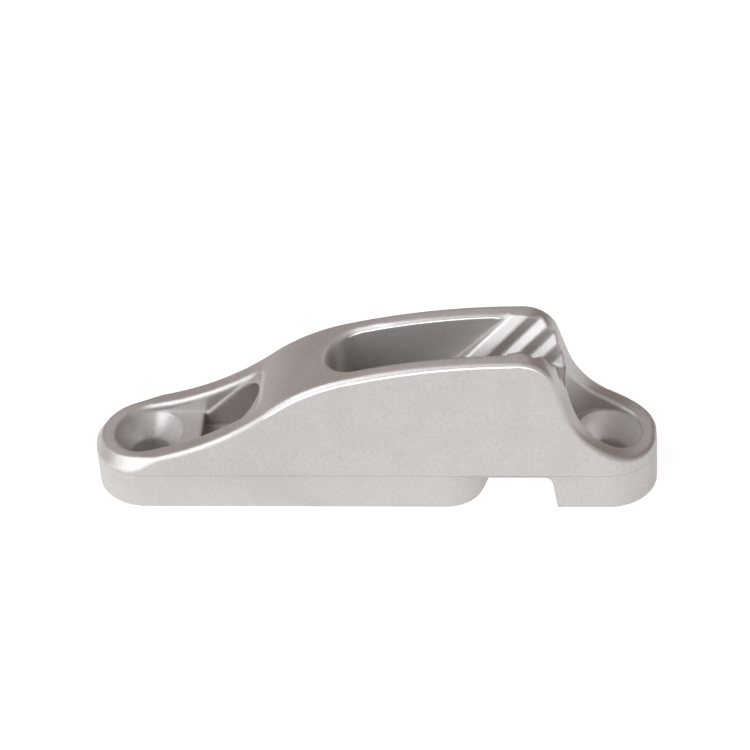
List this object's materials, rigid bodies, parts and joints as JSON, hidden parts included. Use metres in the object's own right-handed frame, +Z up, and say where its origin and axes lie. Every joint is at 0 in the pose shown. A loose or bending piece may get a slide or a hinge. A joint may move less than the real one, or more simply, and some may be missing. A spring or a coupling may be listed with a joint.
{
  "type": "jam cleat",
  "caption": "Cast metal jam cleat for rope: arched fairlead at one end, slanted toothed jaws at the other, a cross slot under the jaws and countersunk screw holes in both feet.",
  "frame": {"origin": "mid length and mid width on the underside of the feet", "axes": "+X along the length from the fairlead end to the jaw end, +Y across the width, +Z up away from the deck"},
  "size_m": [0.0816, 0.0156, 0.026],
  "materials": {
    "casting": "satin, as cast and tumbled"
  },
  "bodies": {
    "root": {"cleat_body": "casting"}
  },
  "joints": []
}
